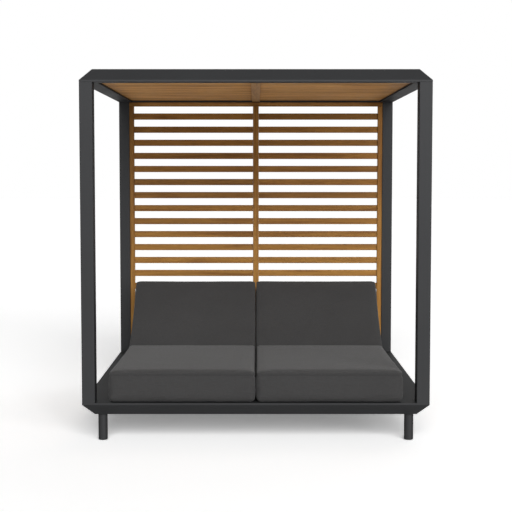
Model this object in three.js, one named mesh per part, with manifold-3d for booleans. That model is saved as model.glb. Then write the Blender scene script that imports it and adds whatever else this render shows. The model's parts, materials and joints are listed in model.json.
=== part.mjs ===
// Outdoor daybed with a canopy: an aluminium frame on four legs, four posts that carry a slatted
// wooden roof, a slatted wooden back, two seat cushions, and two backrests that recline on props.
// Millimetres, +Z up, +X to the right of someone facing the bed, +Y to its back.
// The origin is on the ground, below the middle of the frame. The backrests are shown half raised.

import * as THREE from 'three';
import { mergeVertices } from 'three/addons/utils/BufferGeometryUtils.js';
import Module from 'manifold-3d';

const wasm = await Module();
wasm.setup();

// Overall sizes
const width = 2000;
const depth = 2100;
const height = 2146;
const deck_height = 235;

// Shared fits
const touching_gap = 0.3;
const pin_play = 0.3;
const cut_overrun = 5;
const round_steps = 12;
const weld_tolerance = 0.001;

// Frame rails: a flat lip on the outside and a slope behind it, folded from sheet
const rail_height = 77;
const lip_height = 11;
const rail_wall = 3;
const base_rail_width = 145;
const roof_rail_width = 80;
const deck_thickness = 30;
const deck_ledge_width = 20;
const deck_ledge_thickness = 5;
const roof_ledge_width = 15;
const roof_ledge_thickness = 12;

// Posts and the plugs that hold their feet
const post_width = 75;
const post_depth = 92;
const post_wall = 3;
const post_corner = 4;
const post_corner_steps = 2;
const plug_height = 60;

// Legs and glides
const leg_diameter = 54;
const leg_inset = 107;
const leg_wall = 3;
const leg_foot_thickness = 4;
const leg_edge = 2;
const glide_diameter = 28;
const glide_height = 3;
const glide_edge = 2;
const glide_stem_diameter = 12;
const glide_stem_length = 18;
const leg_steps = 18;
const glide_steps = 12;

// Beams under the deck
const beam_width = 60;
const beam_height = 40;
const beam_wall = 3;
const cross_beam_width = 40;
const prop_beam_from_hinge = 240;

// Wooden back and roof
const slat_face = 45.5;
const slat_thickness = 20;
const slat_edge = 3;
const back_slat_count = 18;
const back_rail_face = 30;
const back_rail_depth = 38;
const back_slat_setback = 10;
const side_stile_face = 33;
const centre_stile_face = 42;
const roof_slat_count = 21;
const roof_batten_width = 75;
const roof_batten_thickness = 20;
const roof_batten_from_rail = 15;
const batten_let_in = 2;
const roof_beam_face = 56;
const roof_beam_height = 52;
const roof_beam_drop = 9;

// Seat deck and backrest frame
const panel_clearance = 3;
const panel_side_face = 40;
const panel_wall = 3;
const panel_slat_face = 60;
const panel_slat_thickness = 4;
const deck_slat_count = 7;
const back_slats_below_prop = 2;
const back_slats_above_prop = 3;
const backrest_end_clearance = 5;
const backrest_heel_distance = 25;
const backrest_solid_end = 34;

// Recline: hinge line, and the turn from flat that the photographed pose has
const hinge_from_front = 1275;
const rest_recline = 37;
const hinge_pin_diameter = 10;
const hinge_eye_radius = 14;
const hinge_plate_thickness = 6;
const hinge_flange_width = 32;
const hinge_flange_thickness = 5;
const hinge_flange_height = 34;
const hinge_from_deck_end = 20;
const pin_head_diameter = 16;
const pin_head_thickness = 3;

// Prop: two arms and a foot bar that walks along a toothed rack
const prop_pivot_along = 300;
const prop_arm_clearance = 3;
const prop_fall_beyond_pivot = 13;
const prop_arm_spacing = 170;
const prop_arm_thickness = 6;
const prop_arm_width = 18;
const prop_pin_diameter = 10;
const prop_bar_diameter = 12;
const prop_tie_width = 16;
const prop_tie_place_share = 0.55;
const ear_radius = 11;
const ear_thickness = 6;
const rack_positions = [0, 18, 28, 37, 45];
const rack_wall = 6;
const rack_web = 4;
const rack_side_gap = 4;
const rack_tip_clearance = 1;
const rack_tooth_depth = 9;
const rack_seat_play = 0.7;
const rack_end_margin = 24;
const rack_arm_height = 9;
const bar_overhang = 4;

// Cushions
const cushion_centre_gap = 12;
const seat_cushion_side_inset = 150;
const seat_cushion_inset = 20;
const seat_cushion_rear_gap = 70;
const seat_cushion_thickness = 187;
const seat_cushion_fall = 21;
const back_cushion_side_inset = 141;
const back_cushion_thickness = 157;
const back_cushion_length = 722;
const back_cushion_slant = 72;
const cushion_round = 30;
const cushion_crown = 5;
const cushion_draw = 7;
const cushion_middle_steps = 5;
const cushion_side_steps = 2;

// Finishes
const finishes = {
  frame: { color: 0x454547, roughness: 0.55, metalness: 0.35 },
  steel: { color: 0xa9abad, roughness: 0.35, metalness: 0.9 },
  teak: { color: 0x9a6a36, roughness: 0.6, metalness: 0 },
  cushion: { color: 0x4a4949, roughness: 0.95, metalness: 0 },
  glide: { color: 0x2b2b2b, roughness: 0.7, metalness: 0 },
};

// Places that several pieces share
const half_width = width / 2;
const half_depth = depth / 2;
const slope_run = rail_height - lip_height;
const base_bottom = deck_height - rail_height;
const roof_bottom = height - rail_height;
const ledge_top = deck_height - deck_thickness - touching_gap;
const hinge_y = hinge_from_front - half_depth;
const hinge_z = deck_height - deck_thickness / 2;
const panel_inner_x = panel_clearance;
const panel_outer_x = half_width - base_rail_width - panel_clearance;
const panel_middle_x = (panel_inner_x + panel_outer_x) / 2;
const prop_pivot_below = deck_thickness / 2 + prop_arm_clearance + prop_arm_width / 2;
const prop_fall = prop_pivot_below + prop_fall_beyond_pivot;
const wood_front_y = half_depth - post_depth;
const wood_half_width = half_width - post_width - touching_gap;
const sides = [
  { name: 'left', turn: -1 },
  { name: 'right', turn: 1 },
];

// Closed geometries become solids for joining and cutting, and go back to geometries
function to_solid(geometry) {
  const bare = geometry.clone();
  bare.deleteAttribute('normal');
  bare.deleteAttribute('uv');
  const merged = mergeVertices(bare, weld_tolerance);
  const vertProperties = new Float32Array(merged.attributes.position.array);
  const triVerts = new Uint32Array(merged.index.array);
  return new wasm.Manifold(new wasm.Mesh({ numProp: 3, vertProperties, triVerts }));
}

function to_geometry(solid) {
  const { vertProperties, triVerts, numProp } = solid.getMesh();
  const count = vertProperties.length / numProp;
  const points = new Float32Array(count * 3);
  for (let i = 0; i < count; i++) {
    for (let k = 0; k < 3; k++) points[i * 3 + k] = vertProperties[i * numProp + k];
  }
  const geometry = new THREE.BufferGeometry();
  geometry.setAttribute('position', new THREE.BufferAttribute(points, 3));
  geometry.setIndex(new THREE.BufferAttribute(new Uint32Array(triVerts), 1));
  return geometry;
}

const join = solids => solids.reduce((all, solid) => all.add(solid));
const cut = (solid, cutters) => cutters.reduce((left, cutter) => left.subtract(cutter), solid);

// A shape drawn in the plane across an axis, drawn out along that axis between two places
function prism(shape, axis, from, to, curveSegments = round_steps) {
  const geometry = new THREE.ExtrudeGeometry(shape, { depth: to - from, bevelEnabled: false, curveSegments });
  const x = new THREE.Vector3(1, 0, 0);
  const y = new THREE.Vector3(0, 1, 0);
  const z = new THREE.Vector3(0, 0, 1);
  const place = new THREE.Matrix4();
  if (axis === 'x') place.makeBasis(y, z, x).setPosition(from, 0, 0);
  if (axis === 'z') place.makeBasis(x, y, z).setPosition(0, 0, from);
  return geometry.applyMatrix4(place);
}

// A rectangular block between two places on each axis
function block(x, y, z) {
  const geometry = new THREE.BoxGeometry(x[1] - x[0], y[1] - y[0], z[1] - z[0]);
  geometry.translate((x[0] + x[1]) / 2, (y[0] + y[1]) / 2, (z[0] + z[1]) / 2);
  return to_solid(geometry);
}

// A round bar along X
function bar(radius, x, y, z) {
  const geometry = new THREE.CylinderGeometry(radius, radius, x[1] - x[0], round_steps);
  geometry.rotateZ(Math.PI / 2).translate((x[0] + x[1]) / 2, y, z);
  return to_solid(geometry);
}

function outline(points) {
  return new THREE.Shape(points.map(([a, b]) => new THREE.Vector2(a, b)));
}

// A rectangle with its edges eased, centred on the drawing's origin
function eased_rectangle(face, thickness, edge) {
  const a = face / 2;
  const b = thickness / 2;
  return outline([
    [-a + edge, -b], [a - edge, -b], [a, -b + edge], [a, b - edge],
    [a - edge, b], [-a + edge, b], [-a, b - edge], [-a, -b + edge],
  ]);
}

function rounded_rectangle(wide, deep, radius) {
  const a = wide / 2;
  const b = deep / 2;
  const shape = new THREE.Shape();
  shape.moveTo(-a + radius, -b);
  shape.lineTo(a - radius, -b);
  shape.absarc(a - radius, -b + radius, radius, -Math.PI / 2, 0);
  shape.absarc(a - radius, b - radius, radius, 0, Math.PI / 2);
  shape.absarc(-a + radius, b - radius, radius, Math.PI / 2, Math.PI);
  shape.absarc(-a + radius, -b + radius, radius, Math.PI, Math.PI * 1.5);
  return shape;
}

const part = new THREE.Group();

function add(name, finish, shape, parent = part) {
  const geometry = shape.isBufferGeometry ? shape : to_geometry(shape);
  const mesh = new THREE.Mesh(geometry, new THREE.MeshStandardMaterial(finishes[finish]));
  mesh.name = name;
  parent.add(mesh);
  return mesh;
}

// Frame rails

// The section of a base rail: lip at the top, slope below it, and a ledge inside for the decks
function base_rail_section() {
  const ledge = ledge_top - base_bottom;
  const under_ledge = ledge - deck_ledge_thickness;
  const corner = (Math.SQRT2 - 1) * rail_wall;
  const section = outline([
    [0, rail_height], [0, slope_run], [slope_run, 0], [base_rail_width, 0],
    [base_rail_width, under_ledge], [base_rail_width + deck_ledge_width, under_ledge],
    [base_rail_width + deck_ledge_width, ledge], [base_rail_width, ledge], [base_rail_width, rail_height],
  ]);
  section.holes.push(outline([
    [rail_wall, rail_height - rail_wall], [rail_wall, slope_run + corner], [slope_run + corner, rail_wall],
    [base_rail_width - rail_wall, rail_wall], [base_rail_width - rail_wall, rail_height - rail_wall],
  ]));
  return section;
}

// The section of a roof rail: lip at the bottom, slope above it, and a ledge inside for the slats
function roof_rail_section() {
  const corner = (Math.SQRT2 - 1) * rail_wall;
  const ledge_end = roof_rail_width + roof_ledge_width;
  const section = outline([
    [0, 0], [ledge_end, 0], [ledge_end, roof_ledge_thickness], [roof_rail_width, roof_ledge_thickness],
    [roof_rail_width, rail_height], [slope_run, rail_height], [0, lip_height],
  ]);
  section.holes.push(outline([
    [rail_wall, rail_wall], [roof_rail_width - rail_wall, rail_wall],
    [roof_rail_width - rail_wall, rail_height - rail_wall], [slope_run + corner, rail_height - rail_wall],
    [rail_wall, lip_height - corner],
  ]));
  return section;
}

// A rail whose outer face is on Y = 0, with both ends mitred
function mitred_rail(section, length) {
  const geometry = prism(section, 'x', -length / 2, length / 2);
  const position = geometry.attributes.position;
  for (let i = 0; i < position.count; i++) {
    const end = Math.sign(position.getX(i));
    const mitre = position.getY(i) + touching_gap * Math.SQRT1_2;
    position.setX(i, position.getX(i) - end * mitre);
  }
  return geometry;
}

function rail_ring(prefix, section, z) {
  const places = [
    { name: 'front', length: width, x: 0, y: -half_depth, turn: 0 },
    { name: 'right', length: depth, x: half_width, y: 0, turn: Math.PI / 2 },
    { name: 'rear', length: width, x: 0, y: half_depth, turn: Math.PI },
    { name: 'left', length: depth, x: -half_width, y: 0, turn: -Math.PI / 2 },
  ];
  for (const place of places) {
    const rail = add(`${prefix}_${place.name}`, 'frame', mitred_rail(section, place.length));
    rail.position.set(place.x, place.y, z);
    rail.rotation.z = place.turn;
  }
}

rail_ring('base_rail', base_rail_section(), base_bottom);
rail_ring('roof_rail', roof_rail_section(), roof_bottom);

// Legs, glides, posts and post plugs at the four corners

function leg_shape() {
  const radius = leg_diameter / 2;
  const bore = radius - leg_wall;
  const stem_hole = glide_stem_diameter / 2 + pin_play;
  const top = base_bottom - touching_gap;
  const profile = [
    [stem_hole, glide_height], [radius - leg_edge, glide_height], [radius, glide_height + leg_edge],
    [radius, top], [bore, top], [bore, glide_height + leg_foot_thickness],
    [stem_hole, glide_height + leg_foot_thickness], [stem_hole, glide_height],
  ];
  return new THREE.LatheGeometry(profile.map(([r, z]) => new THREE.Vector2(r, z)), leg_steps);
}

function glide_shape() {
  const radius = glide_diameter / 2;
  const stem = glide_stem_diameter / 2;
  const seat = glide_height - touching_gap;
  const profile = [
    [0, 0], [radius - glide_edge, 0], [radius, glide_edge], [radius, seat],
    [stem, seat], [stem, seat + glide_stem_length], [0, seat + glide_stem_length],
  ];
  return new THREE.LatheGeometry(profile.map(([r, z]) => new THREE.Vector2(r, z)), glide_steps);
}

// The lathe turns about Y, so its pieces are stood upright
const upright = geometry => geometry.rotateX(Math.PI / 2);

function post_shape() {
  const section = rounded_rectangle(post_width, post_depth, post_corner);
  const inner_width = post_width - 2 * post_wall;
  const inner_depth = post_depth - 2 * post_wall;
  section.holes.push(rounded_rectangle(inner_width, inner_depth, post_corner - post_wall));
  const foot = deck_height + touching_gap;
  return prism(section, 'z', foot, roof_bottom - touching_gap, post_corner_steps);
}

function plug_shape() {
  const less = 2 * (post_wall + touching_gap);
  const section = eased_rectangle(post_width - less, post_depth - less, post_corner);
  const foot = deck_height + touching_gap;
  return prism(section, 'z', foot, foot + plug_height);
}

for (const row of [{ name: 'front', turn: -1 }, { name: 'rear', turn: 1 }]) {
  for (const side of sides) {
    const corner = `${row.name}_${side.name}`;
    const leg_x = side.turn * (half_width - leg_inset);
    const leg_y = row.turn * (half_depth - leg_inset);
    const post_x = side.turn * (half_width - post_width / 2);
    const post_y = row.turn * (half_depth - post_depth / 2);
    add(`leg_${corner}`, 'frame', upright(leg_shape())).position.set(leg_x, leg_y, 0);
    add(`glide_${corner}`, 'glide', upright(glide_shape())).position.set(leg_x, leg_y, 0);
    add(`post_${corner}`, 'frame', post_shape()).position.set(post_x, post_y, 0);
    add(`post_plug_${corner}`, 'frame', plug_shape()).position.set(post_x, post_y, 0);
  }
}

// Beams under the deck: one from front to rear, and two across from it on each side

function hollow_beam(x, y, z, along) {
  const outer = block(x, y, z);
  const inset = ([from, to], open) => (open
    ? [from - cut_overrun, to + cut_overrun]
    : [from + beam_wall, to - beam_wall]);
  return outer.subtract(block(inset(x, along === 'x'), inset(y, along === 'y'), inset(z, false)));
}

const inner_front_y = -half_depth + base_rail_width;
const inner_side_x = half_width - base_rail_width;
const ledge_notch_z = [ledge_top - deck_ledge_thickness - touching_gap, ledge_top + cut_overrun];
const ledge_reach = deck_ledge_width + touching_gap;

function spine_shape() {
  const x = [-beam_width / 2, beam_width / 2];
  const y = [inner_front_y + touching_gap, -inner_front_y - touching_gap];
  const beam = hollow_beam(x, y, [ledge_top - beam_height, ledge_top], 'y');
  const wide = [x[0] - cut_overrun, x[1] + cut_overrun];
  const front = block(wide, [inner_front_y - cut_overrun, inner_front_y + ledge_reach], ledge_notch_z);
  const rear = block(wide, [-inner_front_y - ledge_reach, -inner_front_y + cut_overrun], ledge_notch_z);
  return cut(beam, [front, rear]);
}

const hinge_beam_rear = hinge_y - hinge_from_deck_end;

function hinge_beam_shape(turn) {
  const x = [beam_width / 2 + touching_gap, inner_side_x - touching_gap];
  const y = [hinge_beam_rear - cross_beam_width, hinge_beam_rear];
  const beam = hollow_beam(x, y, [ledge_top - beam_height, ledge_top], 'x');
  const notch_y = [y[0] - cut_overrun, y[1] + cut_overrun];
  const notch = block([inner_side_x - ledge_reach, inner_side_x + cut_overrun], notch_y, ledge_notch_z);
  return mirrored(beam.subtract(notch), turn);
}

const prop_beam_y = [hinge_y + prop_beam_from_hinge, hinge_y + prop_beam_from_hinge + cross_beam_width];
const prop_beam_top = ledge_top - deck_ledge_thickness - touching_gap;

function prop_beam_shape(turn) {
  const x = [beam_width / 2 + touching_gap, inner_side_x - touching_gap];
  return mirrored(hollow_beam(x, prop_beam_y, [base_bottom, prop_beam_top], 'x'), turn);
}

// Pieces are drawn for the right side, and mirrored for the left
function mirrored(solid, turn) {
  return turn > 0 ? solid : solid.mirror([1, 0, 0]);
}

add('base_spine', 'frame', spine_shape());
for (const side of sides) {
  add(`hinge_beam_${side.name}`, 'frame', hinge_beam_shape(side.turn));
  add(`prop_beam_${side.name}`, 'frame', prop_beam_shape(side.turn));
}

// Decks and backrest frames: a folded rim, open below, with flat slats let in flush

function rim(x, y, z, cross_bars) {
  const bars = [
    [x, [y[0], y[0] + panel_side_face]],
    [x, [y[1] - panel_side_face, y[1]]],
    [[x[0], x[0] + panel_side_face], y],
    [[x[1] - panel_side_face, x[1]], y],
    ...cross_bars.map(bar_y => [x, bar_y]),
  ];
  return join(bars.map(([bar_x, bar_y]) => block(bar_x, bar_y, z)));
}

// The hollow under one bar of the rim
function channel(x, y, z) {
  const shrink = ([from, to]) => [from + panel_wall, to - panel_wall];
  return block(shrink(x), shrink(y), [z[0] - cut_overrun, z[1] - panel_wall]);
}

function slats_between(count, x, from, to, top) {
  const gap = (to - from - count * panel_slat_face) / (count + 1);
  const solids = [];
  for (let i = 0; i < count; i++) {
    const start = from + gap + i * (gap + panel_slat_face);
    solids.push(block(x, [start, start + panel_slat_face], [top - panel_slat_thickness, top]));
  }
  return solids;
}

function seat_deck_shape(turn) {
  const x = [panel_inner_x, panel_outer_x];
  const y = [inner_front_y + panel_clearance, hinge_beam_rear];
  const z = [deck_height - deck_thickness, deck_height];
  const frame = rim(x, y, z, []);
  const hollows = [
    channel(x, [y[0], y[0] + panel_side_face], z),
    channel(x, [y[1] - panel_side_face, y[1]], z),
    channel([x[0], x[0] + panel_side_face], y, z),
    channel([x[1] - panel_side_face, x[1]], y, z),
  ];
  const slat_x = [x[0] + panel_wall, x[1] - panel_wall];
  const slats = slats_between(deck_slat_count, slat_x, y[0] + panel_side_face, y[1] - panel_side_face, z[1]);
  return mirrored(join([cut(frame, hollows), ...slats]), turn);
}

// The backrest frame is drawn flat, in a group whose origin is on the hinge line.
// Its Y runs up the backrest, and its Z stands out from it.
const backrest_end = half_depth - base_rail_width - backrest_end_clearance - hinge_y;
const backrest_z = [-deck_thickness / 2, deck_thickness / 2];
const prop_bar_y = [prop_pivot_along - panel_side_face / 2, prop_pivot_along + panel_side_face / 2];
const ear_inner_x = prop_arm_spacing / 2 + prop_arm_thickness / 2 + touching_gap;

function ear(turn) {
  const root = backrest_z[1] - panel_wall / 2;
  const shape = new THREE.Shape();
  shape.moveTo(prop_pivot_along - ear_radius, root);
  shape.absarc(prop_pivot_along, -prop_pivot_below, ear_radius, Math.PI, 2 * Math.PI);
  shape.lineTo(prop_pivot_along + ear_radius, root);
  const start = turn > 0 ? ear_inner_x : -ear_inner_x - ear_thickness;
  const from = panel_middle_x + start;
  return to_solid(prism(shape, 'x', from, from + ear_thickness, round_steps / 2));
}

function backrest_frame_shape(turn) {
  const x = [panel_inner_x, panel_outer_x];
  const heel = [backrest_heel_distance, backrest_heel_distance + panel_side_face];
  const y = [heel[0], backrest_end];
  const frame = rim(x, y, backrest_z, [prop_bar_y]);
  const hollow_start = backrest_solid_end - panel_wall;
  const hollows = [
    channel(x, heel, backrest_z),
    channel(x, [y[1] - panel_side_face, y[1]], backrest_z),
    channel(x, prop_bar_y, backrest_z),
    channel([x[0], x[0] + panel_side_face], [hollow_start, y[1]], backrest_z),
    channel([x[1] - panel_side_face, x[1]], [hollow_start, y[1]], backrest_z),
  ];
  const eye = new THREE.Shape();
  eye.moveTo(backrest_solid_end, backrest_z[1]);
  eye.lineTo(0, backrest_z[1]);
  eye.absarc(0, 0, deck_thickness / 2, Math.PI / 2, Math.PI * 1.5);
  eye.lineTo(backrest_solid_end, backrest_z[0]);
  const eyes = [x[0], x[1] - panel_side_face].map(from => (
    to_solid(prism(eye, 'x', from, from + panel_side_face, round_steps / 2))));
  const slat_x = [x[0] + panel_wall, x[1] - panel_wall];
  const slats = [
    ...slats_between(back_slats_below_prop, slat_x, heel[1], prop_bar_y[0], backrest_z[1]),
    ...slats_between(back_slats_above_prop, slat_x, prop_bar_y[1], y[1] - panel_side_face, backrest_z[1]),
  ];
  const body = join([cut(join([frame, ...eyes]), hollows), ...slats, ear(-1), ear(1)]);
  const hinge_hole = bar(hinge_pin_diameter / 2 + pin_play, [x[0] - cut_overrun, x[1] + cut_overrun], 0, 0);
  const prop_reach = ear_inner_x + ear_thickness + cut_overrun;
  const prop_hole_x = [panel_middle_x - prop_reach, panel_middle_x + prop_reach];
  const prop_hole = bar(prop_pin_diameter / 2 + pin_play, prop_hole_x, prop_pivot_along, -prop_pivot_below);
  return mirrored(cut(body, [hinge_hole, prop_hole]), turn);
}

// Hinge brackets stand on the rear face of the hinge beam, beside the backrest's two rims

function hinge_bracket_shape(turn, plate_x, flange_turn) {
  const rear = hinge_beam_rear + touching_gap;
  const foot = ledge_top - hinge_flange_height;
  const plate = new THREE.Shape();
  plate.moveTo(rear, foot);
  plate.lineTo(rear + hinge_flange_thickness, foot);
  plate.lineTo(hinge_y + hinge_eye_radius, hinge_z);
  plate.absarc(hinge_y, hinge_z, hinge_eye_radius, 0, Math.PI / 2);
  plate.lineTo(rear, hinge_z + hinge_eye_radius);
  const web = to_solid(prism(plate, 'x', plate_x, plate_x + hinge_plate_thickness, round_steps / 2));
  const flange_edge = flange_turn > 0 ? plate_x : plate_x + hinge_plate_thickness - hinge_flange_width;
  const flange_x = [flange_edge, flange_edge + hinge_flange_width];
  const flange = block(flange_x, [rear, rear + hinge_flange_thickness], [foot, ledge_top]);
  const hole_x = [plate_x - cut_overrun, plate_x + hinge_plate_thickness + cut_overrun];
  const hole = bar(hinge_pin_diameter / 2 + pin_play, hole_x, hinge_y, hinge_z);
  return mirrored(join([web, flange]).subtract(hole), turn);
}

// A headed pin along X, from its head at one end to its tip at the other
function headed_pin(diameter, head_x, tip_x, y, z) {
  const way = Math.sign(tip_x - head_x);
  const shank = [Math.min(head_x, tip_x), Math.max(head_x, tip_x)];
  const head_end = head_x - way * pin_head_thickness;
  const head = [Math.min(head_x, head_end), Math.max(head_x, head_end)];
  return join([bar(diameter / 2, shank, y, z), bar(pin_head_diameter / 2, head, y, z)]);
}

function hinge_shapes(turn) {
  const inner_plate = panel_inner_x + panel_side_face + touching_gap;
  const outer_plate = panel_outer_x - panel_side_face - touching_gap - hinge_plate_thickness;
  const inner_head = inner_plate + hinge_plate_thickness + touching_gap;
  const outer_head = outer_plate - touching_gap;
  const pin = (head, tip) => mirrored(headed_pin(hinge_pin_diameter, head, tip, hinge_y, hinge_z), turn);
  return {
    inner_bracket: hinge_bracket_shape(turn, inner_plate, 1),
    outer_bracket: hinge_bracket_shape(turn, outer_plate, -1),
    inner_pin: pin(inner_head, panel_inner_x),
    outer_pin: pin(outer_head, panel_outer_x),
  };
}

// The prop. The hinge, the prop's pivot and its foot form a triangle with two equal sides, so the
// foot moves along a straight line through the hinge line, and the prop turns twice as far back
// as the backrest rises.

const prop_length = Math.hypot(prop_pivot_along, prop_pivot_below);
const pivot_angle = -Math.atan2(prop_pivot_below, prop_pivot_along);
const foot_line_angle = -Math.asin(prop_fall / (2 * prop_length));
const degrees = THREE.MathUtils.degToRad;

const foot_distance = recline => (
  2 * prop_length * Math.cos(degrees(recline) + pivot_angle - foot_line_angle));
const prop_angle = recline => 2 * foot_line_angle - pivot_angle - 2 * degrees(recline);

// The prop is drawn along Y from its pivot at the group's origin to its foot bar
function prop_shape(turn) {
  const arm_outline = new THREE.Shape();
  arm_outline.absarc(0, 0, prop_arm_width / 2, Math.PI / 2, Math.PI * 1.5);
  arm_outline.absarc(prop_length, 0, prop_bar_diameter / 2, -Math.PI / 2, Math.PI / 2);
  const pin_hole = new THREE.Path();
  pin_hole.absarc(0, 0, prop_pin_diameter / 2 + pin_play, 0, 2 * Math.PI);
  arm_outline.holes.push(pin_hole);
  const arm_x = prop_arm_spacing / 2;
  const arms = [-arm_x, arm_x].map(middle => {
    const from = panel_middle_x + middle - prop_arm_thickness / 2;
    return to_solid(prism(arm_outline, 'x', from, from + prop_arm_thickness, round_steps / 2));
  });
  const reach = prop_bar_reach;
  const foot = bar(prop_bar_diameter / 2, [panel_middle_x - reach, panel_middle_x + reach], prop_length, 0);
  const tie_y = prop_length * prop_tie_place_share;
  const tie = block(
    [panel_middle_x - arm_x, panel_middle_x + arm_x],
    [tie_y - prop_tie_width / 2, tie_y + prop_tie_width / 2],
    [-prop_arm_thickness / 2, prop_arm_thickness / 2],
  );
  return mirrored(join([...arms, foot, tie]), turn);
}

const rack_wall_inner = prop_arm_spacing / 2 + prop_arm_thickness / 2 + rack_side_gap;
const prop_bar_reach = rack_wall_inner + rack_wall + bar_overhang;

function prop_pin_shape(turn) {
  const reach = ear_inner_x + ear_thickness + touching_gap;
  const head = panel_middle_x + reach;
  const tip = panel_middle_x - reach;
  return mirrored(headed_pin(prop_pin_diameter, head, tip, prop_pivot_along, -prop_pivot_below), turn);
}

// The rack: an upturned channel whose two walls have a row of teeth below the foot bar's line
function rack_wall_outline() {
  const seat = prop_bar_diameter / 2 + rack_seat_play;
  const drop = prop_bar_diameter / 2 + rack_tip_clearance;
  const slope = Math.tan(foot_line_angle);
  const tip_z = y => hinge_z + (y - hinge_y) * slope - drop;
  const seats = rack_positions.map(angle => hinge_y + foot_distance(angle) * Math.cos(foot_line_angle));
  const low = base_bottom + rack_arm_height;
  const front = prop_beam_y[1] + touching_gap;
  const rear = half_depth - base_rail_width - touching_gap;
  const first = Math.min(...seats) - rack_end_margin;
  const last = Math.max(...seats) + rack_end_margin;
  const shape = new THREE.Shape();
  shape.moveTo(front, base_bottom);
  shape.lineTo(rear, base_bottom);
  shape.lineTo(rear, low);
  shape.lineTo(last, low);
  shape.lineTo(last, tip_z(last));
  for (const y of seats) {
    const centre_z = tip_z(y) - rack_tooth_depth + seat;
    shape.lineTo(y + seat, tip_z(y + seat));
    shape.lineTo(y + seat, centre_z);
    shape.absarc(y, centre_z, seat, 0, -Math.PI, true);
    shape.lineTo(y - seat, centre_z);
    shape.lineTo(y - seat, tip_z(y - seat));
  }
  shape.lineTo(first, tip_z(first));
  shape.lineTo(first, low);
  shape.lineTo(front, low);
  return { shape, front, rear };
}

function rack_shape(turn) {
  const { shape, front, rear } = rack_wall_outline();
  const walls = [-rack_wall_inner - rack_wall, rack_wall_inner].map(start => {
    const from = panel_middle_x + start;
    return to_solid(prism(shape, 'x', from, from + rack_wall, round_steps / 3));
  });
  const half = rack_wall_inner + rack_wall;
  const web_x = [panel_middle_x - half, panel_middle_x + half];
  const web = block(web_x, [front, rear], [base_bottom, base_bottom + rack_web]);
  return mirrored(join([...walls, web]), turn);
}

// Cushions: crowned boxes of foam, rounded along their edges and drawn in between their corners

// A grid over a box, closer at the edges, turned into a rounded and crowned form that lies between
// the two cushions' shared gap and outer_x, and stands on rest_z. reshape moves each finished point.
function cushion_shape(turn, outer_x, y, rest_z, thickness, reshape) {
  const inner_x = cushion_centre_gap / 2;
  const half_x = (outer_x - inner_x) / 2;
  const half_y = (y[1] - y[0]) / 2;
  const half_z = (thickness - cushion_crown) / 2;
  const edge_shares = [1, 0.4, 0];
  const lines = (half, steps) => {
    const low = edge_shares.map(share => -half + cushion_round * (1 - share));
    const inner = half - cushion_round;
    const middle = [];
    for (let i = 1; i < steps; i++) middle.push(-inner + 2 * inner * i / steps);
    return [...low, ...middle, ...low.map(value => -value).reverse()];
  };
  const grid = [
    lines(half_x, cushion_middle_steps), lines(half_y, cushion_middle_steps), lines(half_z, cushion_side_steps),
  ];
  const [count_x, count_y, count_z] = grid.map(line => line.length - 1);
  const box = new THREE.BoxGeometry(1, 1, 1, count_x, count_y, count_z);
  box.deleteAttribute('normal');
  box.deleteAttribute('uv');
  const geometry = mergeVertices(box);
  const position = geometry.attributes.position;
  const halves = [half_x, half_y, half_z];
  const point = new THREE.Vector3();
  const core = new THREE.Vector3();
  for (let i = 0; i < position.count; i++) {
    point.fromBufferAttribute(position, i);
    const place = grid.map((line, k) => line[Math.round((point.getComponent(k) + 0.5) * (line.length - 1))]);
    point.set(...place);
    core.set(...place.map((value, k) => (
      THREE.MathUtils.clamp(value, cushion_round - halves[k], halves[k] - cushion_round))));
    point.sub(core).setLength(cushion_round).add(core);
    const across = place[0] / half_x;
    const along = place[1] / half_y;
    const up = place[2] / half_z;
    const rise = Math.max(0, up) * (1 - across ** 2) * (1 - along ** 2);
    point.x -= cushion_draw * across * (1 - along ** 4);
    point.y -= cushion_draw * along * (1 - across ** 4);
    point.z += cushion_crown * rise;
    reshape(point, along, up);
    position.setXYZ(i, point.x, point.y, point.z);
  }
  return geometry.translate(turn * (inner_x + outer_x) / 2, (y[0] + y[1]) / 2, rest_z + half_z);
}

// The seat cushion's top falls a little from front to rear
function seat_cushion(turn) {
  const y = [-half_depth + seat_cushion_inset, hinge_y - seat_cushion_rear_gap];
  const fall = (point, along, up) => {
    const rear_share = (1 + along) / 2;
    point.z -= seat_cushion_fall * rear_share * (1 + up) / 2;
  };
  const outer_x = half_width - seat_cushion_side_inset;
  return cushion_shape(turn, outer_x, y, deck_height + touching_gap, seat_cushion_thickness, fall);
}

// Drawn in the backrest's group. The lower end slants away from the seat cushion.
function back_cushion(turn) {
  const y = [0, back_cushion_length];
  const slant = (point, along, up) => {
    const lower_share = (1 - along) / 2;
    point.y += back_cushion_slant * lower_share * (1 + up) / 2;
  };
  const outer_x = half_width - back_cushion_side_inset;
  return cushion_shape(turn, outer_x, y, backrest_z[1] + touching_gap, back_cushion_thickness, slant);
}

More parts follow.
